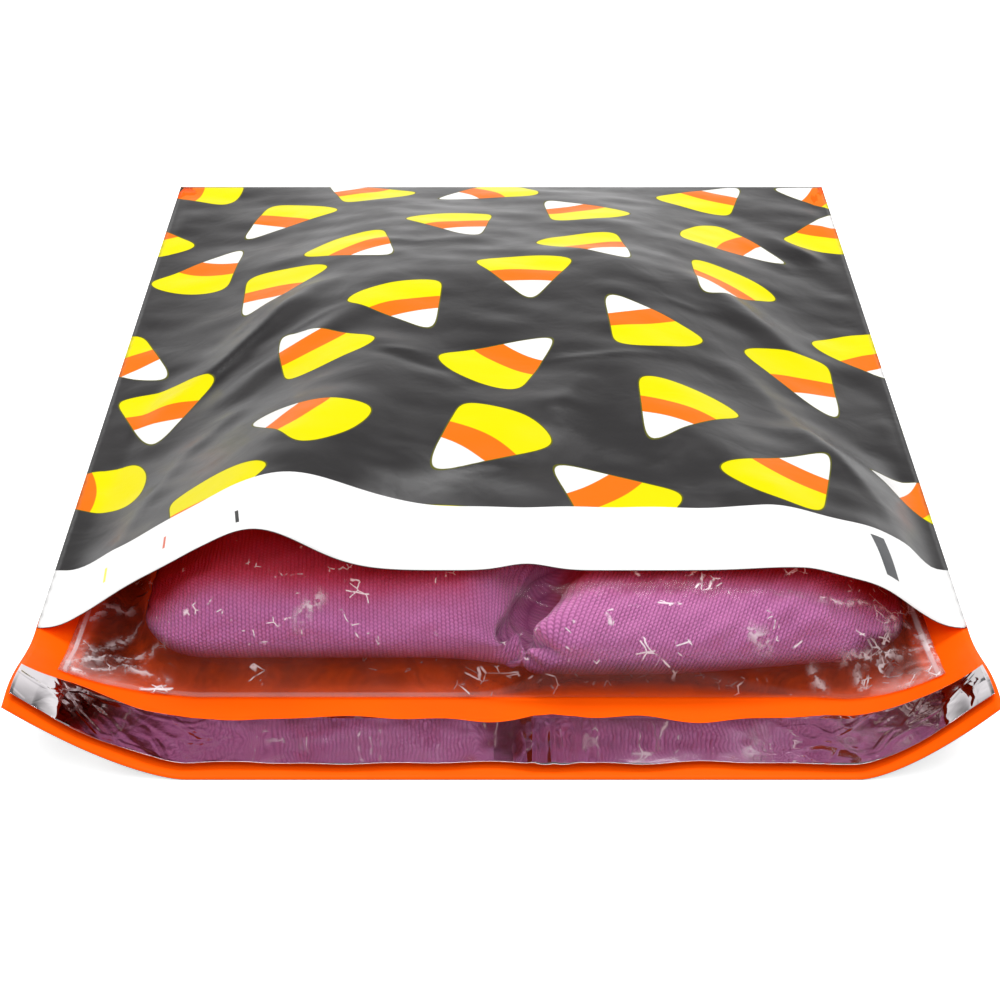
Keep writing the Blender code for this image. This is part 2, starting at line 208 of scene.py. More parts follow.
# The sleeve's sharp creases near the mouth: each its points (x, along), height and spread
CREASES = (
    (((-0.1125, -0.0165), (-0.0995, -0.0063), (-0.0870, -0.0048)), 0.0014, 0.0009),
    (((-0.1110, 0.0000), (-0.1085, -0.0045), (-0.1056, -0.0080)), 0.0012, 0.0010),
    (((-0.1115, -0.0178), (-0.1085, -0.0185), (-0.1058, -0.0178)), 0.0008, 0.0011),
    (((-0.1112, 0.0010), (-0.1055, 0.0110), (-0.0975, 0.0135)), 0.0012, 0.0011),
    (((-0.0995, -0.0128), (-0.0925, -0.0078)), 0.0009, 0.0008),
    (((-0.1090, -0.0100), (-0.1000, 0.0005), (-0.0955, 0.0085)), 0.0010, 0.0007),
    (((-0.1060, -0.0150), (-0.0960, -0.0115), (-0.0850, -0.0118)), 0.0008, 0.0007),
    (((0.0865, -0.0108), (0.0945, -0.0098), (0.1040, -0.0060), (0.1108, -0.0035)), 0.0013, 0.0009),
    (((0.0912, -0.0112), (0.0940, -0.0164)), 0.0009, 0.0008),
    (((0.0790, -0.0120), (0.0847, -0.0150)), 0.0009, 0.0007),
    (((0.1000, -0.0030), (0.1050, 0.0072)), 0.0010, 0.0010),
    (((0.1052, 0.0075), (0.1105, 0.0000), (0.1132, -0.0130)), 0.0012, 0.0010),
    (((0.0700, -0.0003), (0.0886, -0.0010), (0.1060, 0.0090)), 0.0006, 0.0006),
    (((0.0620, -0.0085), (0.0655, -0.0100), (0.0700, -0.0106)), 0.0006, 0.0011),
    (((-0.0545, -0.0050), (-0.0500, -0.0020), (-0.0455, 0.0018)), 0.0006, 0.0013),
)

# The liner's folds across its width: where on X, height and half-width
LINER_PINCHES = (
    (0.0078, 0.00045, 0.0013),
    (0.0128, 0.00035, 0.0012),
    (0.0190, 0.00030, 0.0017),
    (-0.062, 0.0002, 0.003),
)

# Where on Y the painted red light from the film starts on the garment, and where it is full
PAINTED_RED_FROM = -0.1400
PAINTED_RED_TO = -0.1270
PAINTED_RED_LIGHT = (0.50, 0.012, 0.020)

KNIT_WALE = 0.00104
KNIT_COURSE = 0.00110

# The crease between the garment's lobes: where from its middle line, depth and half-width
LOBE_CREASE = (
    (0.0, 0.0085, 0.0026),
    (-0.0080, 0.0026, 0.0080),
    (0.0075, -0.0016, 0.0045),
)

# The tucks beside it: the points (x, distance over the nose) of each, depth and half-width
TUCKS = (
    (((0.0005, 0.0085), (0.0075, 0.0050), (0.0150, 0.0005)), 0.0045, 0.0018),
    (((0.0010, 0.0020), (0.0060, -0.0005), (0.0110, -0.0035)), 0.0030, 0.0016),
)

# How finely each piece is divided, and how much of the garment and the sleeve is the finer front
FILM_COLUMNS = 150
FLAP_ROWS = 26
LOWER_ROWS = 48
UPPER_ROWS = 192
GARMENT_COLUMNS = 260
GARMENT_NOSE_ROWS = 60
GARMENT_BODY_ROWS = 40
GARMENT_NOSE = 0.045
SLEEVE_COLUMNS = 240
SLEEVE_NOSE_ROWS = 72
SLEEVE_BODY_ROWS = 21
SLEEVE_NOSE = 0.056
LINER_COLUMNS = 300
LINER_ROWS = 26


def mix(a, b, share):
    return a + (b - a) * share


def ease(low, high, value):
    """0 up to low and 1 from high on, with a smooth step between."""
    share = np.clip((value - low) / (high - low), 0.0, 1.0)
    return share * share * (3.0 - 2.0 * share)


def round_over(distance, radius):
    """A quarter ellipse: 0 at the rim, 1 from the radius on."""
    return np.sqrt(1.0 - (1.0 - np.clip(distance / radius, 0.0, 1.0)) ** 2)


def bump(distance, half_width):
    return np.exp(-((distance / half_width) ** 2))


def wander(u, v, wavelength, seed, waves=8):
    """A smooth random field of about unit height: plane waves in random directions."""
    rng = np.random.default_rng(seed)
    total = np.zeros(np.broadcast(u, v).shape)
    for _ in range(waves):
        angle, phase = rng.uniform(0.0, 2.0 * math.pi, 2)
        length = wavelength * rng.uniform(0.65, 1.5)
        total += np.sin(2.0 * math.pi * (u * math.cos(angle) + v * math.sin(angle)) / length + phase)
    return total / math.sqrt(0.5 * waves)


def crumple(u, v, wavelength, seed):
    """Sharp creases between flat facets, as in stiff thin film: from 0 to about 1."""
    warp = 0.25 * wavelength * wander(u, v, 1.7 * wavelength, seed + 1)
    first = 1.0 - np.abs(wander(u + warp, v - warp, wavelength, seed + 2, 5))
    second = 1.0 - np.abs(wander(u - warp, v + warp, 0.55 * wavelength, seed + 3, 5))
    return np.clip(first, 0.0, 1.0) ** 3 + 0.5 * np.clip(second, 0.0, 1.0) ** 3


def half_width(along):
    ahead = mix(MOUTH_HALF_WIDTH, FLAP_HALF_WIDTH, -along / FLAP_REACH)
    inside = mix(MOUTH_HALF_WIDTH, FOLD_HALF_WIDTH, along / BAG_REACH)
    return np.where(along < 0.0, ahead, inside)


def edge_height(along):
    """The height of the side seams, and ahead of the mouth of the flap's curled side edges."""
    ahead = mix(MOUTH_SEAM_HEIGHT, FLAP_CORNER_HEIGHT, ease(0.0, FLAP_CURL_RUN, -along))
    inside = mix(MOUTH_SEAM_HEIGHT, FOLD_HEIGHT, along / BAG_REACH)
    return np.where(along < 0.0, ahead, inside)


def under_z(x, along):
    """The outer face of the lower panel and of the flap."""
    flat = np.where(x < 0.0, FLAT_LEFT, FLAT_RIGHT)
    side = np.clip((np.abs(x) - flat) / (half_width(along) - flat), 0.0, 1.0) ** LIFT_POWER
    fold = np.clip(1.0 - (BAG_REACH - along) / FOLD_LIFT_RUN, 0.0, 1.0) ** LIFT_POWER
    return mix(fold * FOLD_HEIGHT, edge_height(along), side)


def crest_z(along):
    """The height of the upper panel along its middle."""
    drop = MOUTH_DROP * (1.0 - ease(0.0, MOUTH_DROP_RUN, along))
    fall = np.clip((along - BACK_FALL_START) / (BAG_REACH - BACK_FALL_START), 0.0, 1.0)
    return mix(CREST_HEIGHT - drop, FOLD_HEIGHT, fall ** BACK_FALL_POWER)


def fill_z(x, along):
    """The upper panel as the contents fill it, before its hump, ridges and folds."""
    shoulder = mix(SHOULDER_AT_MOUTH, SHOULDER_INSIDE, ease(0.0, SHOULDER_RUN, along))
    side = ease(shoulder, half_width(along) - SEAM_BORDER, np.abs(x))
    return mix(crest_z(along), edge_height(np.maximum(along, 0.0)), side)


def ridge_z(x, along, ridge):
    (x0, along0), (x1, along1), height, spread = ridge
    run_x, run_along = x1 - x0, along1 - along0
    length = math.hypot(run_x, run_along)
    share = ((x - x0) * run_x + (along - along0) * run_along) / length**2
    across = ((x - x0) * run_along - (along - along0) * run_x) / length
    taper = ease(-RIDGE_BEFORE, RIDGE_AFTER, share)
    taper = taper * (1.0 - ease(1.0 - RIDGE_AFTER, 1.0 + RIDGE_BEFORE, share))
    return height * taper * bump(across, spread)


def fold_z(x, along, points, height, spread):
    """A fold along a line of points, sharp on its crest and tapering to both of its ends."""
    lengths = [math.dist(a, b) for a, b in zip(points, points[1:])]
    nearest = np.full(x.shape, 1.0)
    place = np.zeros(x.shape)
    done = 0.0
    for (x0, along0), (x1, along1), length in zip(points, points[1:], lengths):
        share = ((x - x0) * (x1 - x0) + (along - along0) * (along1 - along0)) / length**2
        share = np.clip(share, 0.0, 1.0)
        away = np.hypot(x - mix(x0, x1, share), along - mix(along0, along1, share))
        place = np.where(away < nearest, (done + share * length) / sum(lengths), place)
        nearest = np.minimum(away, nearest)
        done += length
    taper = np.sin(math.pi * np.clip(place, 0.0, 1.0)) ** 0.7
    return height * taper * np.exp(-((nearest / spread) ** 1.5))


def loose_z(x, along):
    """How far the upper panel stands off its contents."""
    centre = HUMP_X + HUMP_LEAN * along
    spread = HUMP_HALF_WIDTH + HUMP_SPREAD * along
    hump = HUMP_HEIGHT * np.exp(-((along / HUMP_REACH) ** 2) - ((x - centre) / spread) ** 2)
    return hump + sum(ridge_z(x, along, ridge) for ridge in RIDGES)


def slack_z(x, along):
    """The film's finer folds and its slow waves, which die away at the lip."""
    folds = sum(fold_z(x, along, *fold) for fold in FOLDS)
    waves = 0.00030 * wander(x, along, 0.050, 11) + 0.00010 * wander(x, along, 0.017, 12)
    return folds + waves * ease(0.0, 0.030, along)


def loose_share(x, along):
    free = 1.0 - ease(LOOSE_SIDE, 1.0, np.abs(x) / half_width(along))
    return free * (1.0 - ease(LOOSE_REACH, 1.0, along / BAG_REACH))


def slack_share(x, along):
    inner = 1.0 - ease(0.955, 0.99, np.abs(x) / half_width(along))
    return inner * (1.0 - ease(0.95, 1.0, along / BAG_REACH))


def lip_draw(x, along):
    """How far the upper panel's lip is drawn back into the bag."""
    side = ease(LIP_DRAW_CORNER, 1.0, np.abs(x) / half_width(along))
    return LIP_DRAW * (1.0 - side) * (1.0 - ease(0.0, LIP_DRAW_RUN, along))


def garment_sides():
    half = MOUTH_HALF_WIDTH - SLEEVE_SIDE_ROOM
    return GARMENT_LEFT_ROOM - half, half - GARMENT_RIGHT_ROOM


def garment_side(x):
    left, right = garment_sides()
    return np.minimum(x - left, right - x)


def corner_retreat(side, radius):
    return radius - np.sqrt(radius**2 - (radius - np.clip(side, 0.0, radius)) ** 2)


def garment_front(x):
    lobe = mix(GARMENT_LEFT_FRONT, GARMENT_RIGHT_FRONT, ease(-GARMENT_LOBE_STEP, GARMENT_LOBE_STEP, x))
    retreat = GARMENT_RIGHT_RETREAT * ease(GARMENT_RETREAT_START, GARMENT_RETREAT_END, x)
    return lobe + retreat + corner_retreat(garment_side(x), GARMENT_CORNER)


def garment_back(x):
    return GARMENT_BACK - corner_retreat(garment_side(x), GARMENT_CORNER)


def sleeve_floor(x, along):
    return under_z(x, along) + FILM + LAYER_GAP


def garment_floor(x, along):
    return sleeve_floor(x, along) + SLEEVE_FILM + LAYER_GAP


def garment_ceiling(x, along):
    return fill_z(x, along) - AIR_OVER_CONTENTS


def garment_rim_z(x, along):
    return mix(garment_floor(x, along), garment_ceiling(x, along), RIM_SHARE)


def crease_z(x, along):
    share = np.clip((along - GARMENT_RIGHT_FRONT) / CREASE_REACH, 0.0, 1.0)
    centre = mix(CREASE_FRONT_X, CREASE_BACK_X, share)
    depth = CREASE_DEPTH * (1.0 - ease(CREASE_FADE, 1.0, share))
    return depth * bump(x - centre, CREASE_HALF_WIDTH)


def garment_top(x, along):
    rim = garment_rim_z(x, along)
    dome = round_over(garment_side(x), GARMENT_SIDE_ROUND)
    dome = dome * round_over(along - garment_front(x), GARMENT_FRONT_ROUND)
    dome = dome * round_over(garment_back(x) - along, GARMENT_FRONT_ROUND)
    return rim + (garment_ceiling(x, along) - rim - crease_z(x, along)) * dome


def garment_bottom(x, along):
    rim = garment_rim_z(x, along)
    bowl = round_over(garment_side(x), GARMENT_UNDER_ROUND)
    bowl = bowl * round_over(along - garment_front(x), GARMENT_UNDER_ROUND)
    bowl = bowl * round_over(garment_back(x) - along, GARMENT_UNDER_ROUND)
    return mix(rim, garment_floor(x, along), bowl)


def sleeve_half_width(along):
    filled = ease(SLEEVE_FRONT, SLEEVE_FRONT + SLEEVE_NARROW_RUN, along)
    return MOUTH_HALF_WIDTH - mix(SLEEVE_FRONT_ROOM, SLEEVE_SIDE_ROOM, filled)


def sleeve_front(x):
    half = MOUTH_HALF_WIDTH - SLEEVE_FRONT_ROOM
    return SLEEVE_FRONT - SLEEVE_CORNER * ease(half - SLEEVE_CORNER_RUN, half, np.abs(x))


def drape(distance, radius):
    """How far the sleeve has risen over the garment's edge: 0 on the film, 1 on the garment."""
    start = ease(-SLEEVE_SLACK, 0.0, distance)
    return start * round_over(distance + SLEEVE_SLACK, radius + SLEEVE_SLACK)


def sleeve_top(x, along):
    inside = np.minimum(sleeve_half_width(along) - np.abs(x), along - sleeve_front(x))
    edge = round_over(inside, SLEEVE_EDGE_RUN)
    low = sleeve_floor(x, along) + SLEEVE_PUFF * edge
    high = fill_z(x, along) - AIR_OVER_SLEEVE
    side_drape = drape(garment_side(x), GARMENT_SIDE_ROUND)
    front_drape = drape(along - garment_front(x), GARMENT_FRONT_ROUND)
    return mix(low, np.maximum(high, low), np.minimum(side_drape, front_drape) * edge)


def grid_mesh(name, points, uv_maps=()):
    """A mesh from a grid of points[row, column], with uv_maps of (name, coordinates[row, column])."""
    rows, columns = points.shape[:2]
    bm = bmesh.new()
    bmesh.ops.create_grid(bm, x_segments=columns - 1, y_segments=rows - 1, size=1.0)
    mesh = bpy.data.meshes.new(name)
    bm.to_mesh(mesh)
    bm.free()
    spots = np.empty(len(mesh.vertices) * 3)
    mesh.vertices.foreach_get("co", spots)
    spots = spots.reshape(-1, 3)
    column = np.rint((spots[:, 0] + 1.0) * 0.5 * (columns - 1)).astype(int)
    row = np.rint((spots[:, 1] + 1.0) * 0.5 * (rows - 1)).astype(int)
    placed = points[row, column] + (0.0, MIDDLE, 0.0)
    mesh.vertices.foreach_set("co", placed.ravel())
    corners = np.empty(len(mesh.loops), int)
    mesh.loops.foreach_get("vertex_index", corners)
    for uv_name, coordinates in uv_maps:
        layer = mesh.uv_layers.new(name=uv_name)
        layer.uv.foreach_set("vector", coordinates[row, column][corners].ravel())
    return mesh


def weld(mesh, flip=False):
    """Merges the seams of a mesh, and turns it to face out."""
    bm = bmesh.new()
    bm.from_mesh(mesh)
    bmesh.ops.remove_doubles(bm, verts=bm.verts, dist=1e-6)
    if flip:
        bmesh.ops.reverse_faces(bm, faces=bm.faces)
    bm.to_mesh(mesh)
    bm.free()
    mesh.shade_smooth()


def add_piece(mesh, materials, node):
    """An object on the one body, which stands for a node of the frame."""
    piece = bpy.data.objects.new(mesh.name, mesh)
    bpy.context.scene.collection.objects.link(piece)
    for material in materials:
        mesh.materials.append(material)
    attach(piece, "root")
    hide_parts(node)
    return piece


def add_wall(piece, thickness, side, inner_material=0):
    wall = piece.modifiers.new("wall", "SOLIDIFY")
    wall.thickness = thickness
    wall.offset = side
    wall.material_offset = inner_material
    return wall


def run_lengths(points, axis):
    """The distance over the surface from the first row (axis 0) or column (axis 1) to each point."""
    steps = np.linalg.norm(np.diff(points, axis=axis), axis=2)
    pad = [(0, 0), (0, 0)]
    pad[axis] = (1, 0)
    return np.pad(np.cumsum(steps, axis=axis), pad)


# Materials

def put(tree, socket, value):
    """Sets a socket to a number or colour, or links it to another socket."""
    if isinstance(value, bpy.types.NodeSocket):
        tree.links.new(value, socket)
    elif hasattr(value, "__len__") and len(value) == 3 and len(socket.default_value) == 4:
        socket.default_value = (*value, 1.0)
    else:
        socket.default_value = value


def sums(tree, operation, *values, clamp=False):
    node = tree.nodes.new("ShaderNodeMath")
    node.operation = operation
    node.use_clamp = clamp
    for socket, value in zip(node.inputs, values):
        put(tree, socket, value)
    return node.outputs[0]


def blend(tree, share, a, b):
    """Colour a where share is 0, and b where it is 1."""
    node = tree.nodes.new("ShaderNodeMix")
    node.data_type = "RGBA"
    put(tree, node.inputs[0], share)
    put(tree, node.inputs[6], a)
    put(tree, node.inputs[7], b)
    return node.outputs[2]


def mix_value(tree, share, a, b):
    node = tree.nodes.new("ShaderNodeMix")
    put(tree, node.inputs[0], share)
    put(tree, node.inputs[2], a)
    put(tree, node.inputs[3], b)
    return node.outputs[0]


def level(tree, value, low, high, to_low=0.0, to_high=1.0, smooth=True):
    node = tree.nodes.new("ShaderNodeMapRange")
    node.interpolation_type = "SMOOTHSTEP" if smooth else "LINEAR"
    for socket, number in zip(node.inputs, (value, low, high, to_low, to_high)):
        put(tree, socket, number)
    return node.outputs[0]


def noise(tree, vector, scale, detail=2.0, roughness=0.5, distortion=0.0):
    node = tree.nodes.new("ShaderNodeTexNoise")
    put(tree, node.inputs["Vector"], vector)
    put(tree, node.inputs["Scale"], scale)
    put(tree, node.inputs["Detail"], detail)
    put(tree, node.inputs["Roughness"], roughness)
    put(tree, node.inputs["Distortion"], distortion)
    return node.outputs["Fac"]


def cracks(tree, vector, scale, width):
    """Straight thin lines that meet at corners, as the creases of stiff film do: 1 on them."""
    bent = tree.nodes.new("ShaderNodeVectorMath")
    bent.operation = "MULTIPLY_ADD"
    wobble = tree.nodes.new("ShaderNodeTexNoise")
    wobble.inputs["Scale"].default_value = 1.3 * scale
    put(tree, wobble.inputs["Vector"], vector)
    put(tree, bent.inputs[0], wobble.outputs["Color"])
    bent.inputs[1].default_value = (0.18 / scale, 0.18 / scale, 0.18 / scale)
    put(tree, bent.inputs[2], vector)
    cells = tree.nodes.new("ShaderNodeTexVoronoi")
    cells.feature = "DISTANCE_TO_EDGE"
    cells.inputs["Scale"].default_value = scale
    put(tree, cells.inputs["Vector"], bent.outputs[0])
    return level(tree, cells.outputs["Distance"], width, 0.25 * width)


def relief(tree, height, distance, strength=1.0):
    node = tree.nodes.new("ShaderNodeBump")
    put(tree, node.inputs["Height"], height)
    put(tree, node.inputs["Distance"], distance)
    put(tree, node.inputs["Strength"], strength)
    return node.outputs[0]


def uv(tree, name):
    node = tree.nodes.new("ShaderNodeUVMap")
    node.uv_map = name
    return node.outputs[0]


def parts_of(tree, vector):
    node = tree.nodes.new("ShaderNodeSeparateXYZ")
    put(tree, node.inputs[0], vector)
    return node.outputs[0], node.outputs[1]


def object_place(tree):
    return tree.nodes.new("ShaderNodeTexCoord").outputs["Object"]


def new_finish(name, color, roughness, metallic=0.0):
    material = bpy.data.materials.new(name)
    material.use_nodes = True
    tree = material.node_tree
    shader = tree.nodes["Principled BSDF"]
    put(tree, shader.inputs["Base Color"], color)
    put(tree, shader.inputs["Roughness"], roughness)
    put(tree, shader.inputs["Metallic"], metallic)
    return material, tree, shader


def film_skin_group():
    """The fine unevenness of drawn film: a height for its bump, and a share for its roughness."""
    group = bpy.data.node_groups.new("film_skin", "ShaderNodeTree")
    group.interface.new_socket("Vector", in_out="INPUT", socket_type="NodeSocketVector")
    group.interface.new_socket("Height", in_out="OUTPUT", socket_type="NodeSocketFloat")
    group.interface.new_socket("Haze", in_out="OUTPUT", socket_type="NodeSocketFloat")
    ends_in = group.nodes.new("NodeGroupInput")
    ends_out = group.nodes.new("NodeGroupOutput")
    vector = ends_in.outputs[0]
    slow = noise(group, vector, 70.0, 2.0, 0.5, 0.6)
    fine = noise(group, vector, 420.0, 3.0, 0.6)
    height = sums(group, "MULTIPLY_ADD", fine, 0.12, slow)
    put(group, ends_out.inputs[0], height)
    put(group, ends_out.inputs[1], level(group, noise(group, vector, 38.0, 3.0, 0.6), 0.35, 0.7))
    return group


def add_group(tree, group, vector):
    node = tree.nodes.new("ShaderNodeGroup")
    node.node_tree = group
    put(tree, node.inputs[0], vector)
    return node.outputs


def figure_colour(tree, ground):
    """The print's figure over the ground: a rounded triangle in three bands, in its own coordinates."""
    across, up = parts_of(tree, uv(tree, "figure"))
    slant = math.radians(FIGURE_SLANT)
    sides = []
    for turn in (1.0, -1.0):
        lean = sums(tree, "MULTIPLY", across, turn * math.cos(slant))
        reach = sums(tree, "MULTIPLY_ADD", up, math.sin(slant), -FIGURE_TIP * math.sin(slant))
        sides.append(sums(tree, "ADD", lean, reach))
    bow = sums(tree, "MULTIPLY", across, across)
    base = sums(tree, "MULTIPLY_ADD", bow, 14.0, -FIGURE_BASE)
    base = sums(tree, "SUBTRACT", base, up)
    outline = sums(tree, "SMOOTH_MAX", sides[0], sides[1], 0.012)
    outline = sums(tree, "SMOOTH_MAX", outline, base, 0.010)
    inside = level(tree, outline, 0.00010, -0.00010)
    line = level(tree, outline, 0.00045, 0.00030)
    height = sums(tree, "MULTIPLY_ADD", bow, -11.0, up)
    tip = level(tree, height, 0.00885, 0.00915)
    middle = level(tree, height, -0.00115, -0.00085)
    colour = blend(tree, middle, FIGURE_YELLOW, FIGURE_ORANGE)
    colour = blend(tree, tip, colour, FIGURE_WHITE)
    colour = blend(tree, inside, FIGURE_RIM, colour)
    return blend(tree, line, ground, colour), line


def bar_mask(tree, u, v, place, size, lean):
    """1 inside a small leaning bar on the flat film."""
    off_v = sums(tree, "SUBTRACT", v, place[1])
    off_u = sums(tree, "SUBTRACT", u, place[0])
    off_u = sums(tree, "MULTIPLY_ADD", off_v, -lean, off_u)
    in_u = sums(tree, "LESS_THAN", sums(tree, "ABSOLUTE", off_u), 0.5 * size[0])
    in_v = sums(tree, "LESS_THAN", sums(tree, "ABSOLUTE", off_v), 0.5 * size[1])
    return sums(tree, "MULTIPLY", in_u, in_v)


def print_finish(film_skin):
    """The film's printed outside."""
    material, tree, shader = new_finish("film_print", (0.024, 0.022, 0.023), 0.36)
    u, v = parts_of(tree, uv(tree, "film"))
    skin = add_group(tree, film_skin, object_place(tree))
    ground = blend(tree, skin[1], (0.0088, 0.0074, 0.0080), (0.0135, 0.0115, 0.0123))
    colour, printed = figure_colour(tree, ground)
    band = level(tree, v, BAND_WIDTH + 0.00012, BAND_WIDTH - 0.00012)
    colour = blend(tree, band, colour, BAND_WHITE)
    for place, size, lean, tint in BAND_MARKS:
        colour = blend(tree, bar_mask(tree, u, v, place, size, lean), colour, tint)
    # A thin dark line along the lip's edge
    lip_edge = level(tree, v, 0.00022, 0.00016)
    colour = blend(tree, lip_edge, colour, LIP_EDGE_DARK)
    put(tree, shader.inputs["Base Color"], colour)
    shine = level(tree, printed, 0.0, 1.0, 0.50, 0.04)
    put(tree, shader.inputs["Specular IOR Level"], shine)
    put(tree, shader.inputs["Roughness"], level(tree, skin[1], 0.0, 1.0, 0.305, 0.375))
    put(tree, shader.inputs["Normal"], relief(tree, skin[0], 0.00035, 0.6))
    return material


def orange_finish(film_skin):
    """The film's inside, and the flap's upper face."""
    material, tree, shader = new_finish("film_inside", (0.93, 0.125, 0.004), 0.42)
    skin = add_group(tree, film_skin, object_place(tree))
    colour = blend(tree, skin[1], (0.97, 0.103, 0.001), (0.93, 0.093, 0.001))
    put(tree, shader.inputs["Base Color"], colour)
    put(tree, shader.inputs["Specular IOR Level"], 0.03)
    # A painted glow: emission that stands in for the light that comes through the film
    put(tree, shader.inputs["Emission Color"], (0.90, 0.055, 0.003))
    put(tree, shader.inputs["Emission Strength"], 0.085)
    put(tree, shader.inputs["Roughness"], level(tree, skin[1], 0.0, 1.0, 0.40, 0.48))
    put(tree, shader.inputs["Normal"], relief(tree, skin[0], 0.00030, 0.6))
    return material


def knit_finish():
    """Fine jersey: columns of small V stitches, in the garment's own coordinates."""
    material, tree, shader = new_finish("jersey", (0.42, 0.13, 0.37), 0.85)
    u, v = parts_of(tree, uv(tree, "knit"))
    wale = sums(tree, "FRACT", sums(tree, "MULTIPLY", u, 1.0 / KNIT_WALE))
    leg = sums(tree, "ABSOLUTE", sums(tree, "SUBTRACT", wale, 0.5))
    rib = sums(tree, "SINE", sums(tree, "MULTIPLY", wale, math.pi))
    other = sums(tree, "FLOOR", sums(tree, "MULTIPLY", u, 1.0 / KNIT_WALE))
    course = sums(tree, "MULTIPLY_ADD", leg, 0.9, sums(tree, "MULTIPLY", v, 1.0 / KNIT_COURSE))
    course = sums(tree, "MULTIPLY_ADD", other, 0.5, course)
    loop = sums(tree, "SINE", sums(tree, "MULTIPLY", course, 2.0 * math.pi))
    stitch = sums(tree, "MULTIPLY_ADD", loop, 0.25, 0.75)
    height = sums(tree, "MULTIPLY", sums(tree, "POWER", rib, 0.6), stitch)
    fuzz = noise(tree, object_place(tree), 2600.0, 2.0, 0.7)
    height = sums(tree, "MULTIPLY_ADD", fuzz, 0.35, height)
    patch = noise(tree, object_place(tree), 160.0, 3.0, 0.6)
    deep = blend(tree, patch, (0.34, 0.078, 0.232), (0.39, 0.093, 0.270))
    pale = blend(tree, patch, (0.53, 0.158, 0.390), (0.62, 0.192, 0.455))
    # The darker colour in the stitches' hollows is painted shade; the patches are the yarn's own uneven
    # tone
    colour = blend(tree, level(tree, height, 0.15, 1.05), deep, pale)
    # Painted red light, standing in for light bounced off the film's orange inside, but not in the crease
    # between the lobes
    side, depth = parts_of(tree, object_place(tree))
    # The garment's ends lie further in, and stay as clear of the painted red as its middle
    depth = sums(tree, "SUBTRACT", depth, level(tree, side, 0.080, 0.100, 0.0, 0.0045))
    depth = sums(tree, "SUBTRACT", depth, level(tree, side, -0.098, -0.055, 0.0035, 0.0))
    painted_red = level(tree, depth, PAINTED_RED_FROM, PAINTED_RED_TO)
    from_crease = sums(tree, "ABSOLUTE", sums(tree, "SUBTRACT", side, 0.004))
    painted_red = sums(tree, "MULTIPLY", painted_red, level(tree, from_crease, 0.006, 0.016))
    colour = blend(tree, sums(tree, "MULTIPLY", painted_red, 0.85), colour, PAINTED_RED_LIGHT)
    put(tree, shader.inputs["Base Color"], colour)
    put(tree, shader.inputs["Sheen Weight"], sums(tree, "MULTIPLY_ADD", painted_red, -0.25, 0.25))
    put(tree, shader.inputs["Sheen Roughness"], 0.45)
    put(tree, shader.inputs["Specular IOR Level"], 0.25)
    put(tree, shader.inputs["Normal"], relief(tree, height, 0.00045, 0.9))
    return material


